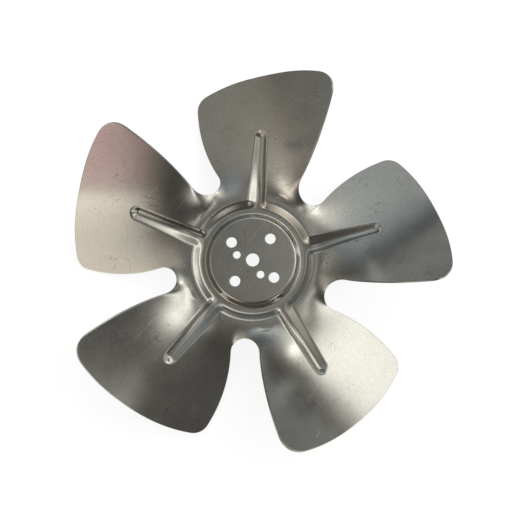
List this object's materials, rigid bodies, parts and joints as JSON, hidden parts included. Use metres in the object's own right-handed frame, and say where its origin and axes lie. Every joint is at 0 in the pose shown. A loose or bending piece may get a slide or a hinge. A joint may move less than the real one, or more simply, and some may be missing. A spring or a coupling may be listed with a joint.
{
  "type": "fan blade",
  "caption": "Small axial fan wheel pressed from one aluminium sheet, with pitched ribbed blades round a flat hub with a grooved ring, a shaft hole and motor screw holes.",
  "frame": {"origin": "centre of the shaft hole, on the front face of the flat hub disc", "axes": "+Z out of the front face along the shaft, +X along the rib of the index blade, which lies in line with one motor screw hole"},
  "size_m": [0.1673, 0.1695, 0.0467],
  "materials": {
    "aluminium": "satin mill finish with fine rolling lines, light scuffs and handling marks"
  },
  "bodies": {
    "root": {"fan_blade": "aluminium"}
  },
  "joints": []
}
